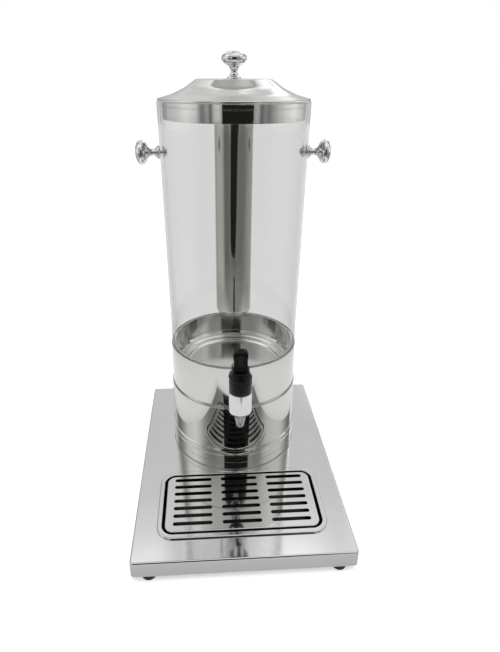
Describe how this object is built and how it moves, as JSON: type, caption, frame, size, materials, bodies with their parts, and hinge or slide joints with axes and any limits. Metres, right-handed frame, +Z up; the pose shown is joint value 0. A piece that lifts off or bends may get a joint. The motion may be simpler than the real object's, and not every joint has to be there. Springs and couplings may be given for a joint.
{
  "type": "juice dispenser",
  "caption": "Table-top juice dispenser: polished steel base with drip tray, clear tank with side knobs, lever tap, conical lid and an ice tube hanging inside",
  "frame": {"origin": "On the table, under the middle of the base plate", "axes": "+Z up, +X to the right seen from the front, the tap side faces -Y"},
  "size_m": [0.26, 0.35, 0.5422],
  "materials": {
    "polished_steel": "polished stainless steel",
    "folded_steel": "plain stainless steel",
    "satin_steel": "satin stainless steel",
    "chrome_trim": "polished chrome plate",
    "bright_tap": "bright chrome plate",
    "clear_plastic": "clear moulded plastic",
    "black_plastic": "semi-gloss black plastic",
    "black_rubber": "black rubber",
    "clear_silicone": "pale silicone",
    "zinc_fastener": "plain steel fasteners"
  },
  "bodies": {
    "base": {"base_plate": "polished_steel", "corner_gussets": "folded_steel", "rubber_feet": "black_rubber", "foot_screws": "zinc_fastener", "foot_nuts": "zinc_fastener", "pedestal_drum": "polished_steel", "pedestal_bolts": "zinc_fastener", "pedestal_nuts": "zinc_fastener"},
    "tray": {"drip_tray": "polished_steel"},
    "grille": {"drip_grille": "polished_steel"},
    "tank": {"tank_jacket": "polished_steel", "tank_cup": "polished_steel", "tube_seat_ring": "folded_steel", "tube_gasket": "clear_silicone", "tank_tube": "clear_plastic", "side_knob_left": "chrome_trim", "side_knob_right": "chrome_trim", "side_knob_screws": "zinc_fastener", "side_knob_washers": "zinc_fastener", "side_knob_outer_seals": "clear_silicone", "side_knob_inner_seals": "clear_silicone", "tap_body": "bright_tap", "tap_outer_gasket": "black_rubber", "shank_bushing": "black_plastic", "tap_inner_gasket": "clear_silicone", "shank_washer": "zinc_fastener", "shank_nut": "zinc_fastener", "tap_bonnet": "black_plastic", "lever_pin": "zinc_fastener"},
    "lever": {"tap_lever": "black_plastic"},
    "stem": {"tap_stem": "zinc_fastener", "seat_cup": "clear_silicone"},
    "lid": {"lid_shell": "satin_steel", "lid_skirt": "polished_steel", "lid_seal": "clear_silicone", "lid_knob": "chrome_trim", "lid_knob_screw": "zinc_fastener", "lid_knob_washer": "zinc_fastener", "ice_tube_socket": "folded_steel"},
    "ice": {"ice_tube": "polished_steel", "ice_tube_oring": "black_rubber"}
  },
  "joints": [
    {"name": "tank_lift", "type": "slide", "parent": "base", "child": "tank", "axis": [0, 0, 1], "range_m": [0, 0.12]},
    {"name": "lid_lift", "type": "slide", "parent": "tank", "child": "lid", "axis": [0, 0, 1], "range_m": [0, 0.3]},
    {"name": "ice_pull", "type": "slide", "parent": "lid", "child": "ice", "axis": [0, 0, -1], "range_m": [0, 0.05]},
    {"name": "tray_lift", "type": "slide", "parent": "base", "child": "tray", "axis": [0, 0, 1], "range_m": [0, 0.035]},
    {"name": "grille_lift", "type": "slide", "parent": "tray", "child": "grille", "axis": [0, 0, 1], "range_m": [0, 0.035]},
    {"name": "lever_tilt", "type": "hinge", "parent": "tank", "child": "lever", "pos_m": [0, -0.0694, 0.2097], "axis": [1, 0, 0], "range_deg": [0, 35], "stiffness_Nm_per_rad": 0.25},
    {"name": "stem_slide", "type": "slide", "parent": "tank", "child": "stem", "axis": [0, 0, 1], "range_m": [0, 0.004]}
  ],
  "couplings": [
    {"joint": "stem_slide", "follows": "lever_tilt", "m_per_rad": 0.0065}
  ]
}
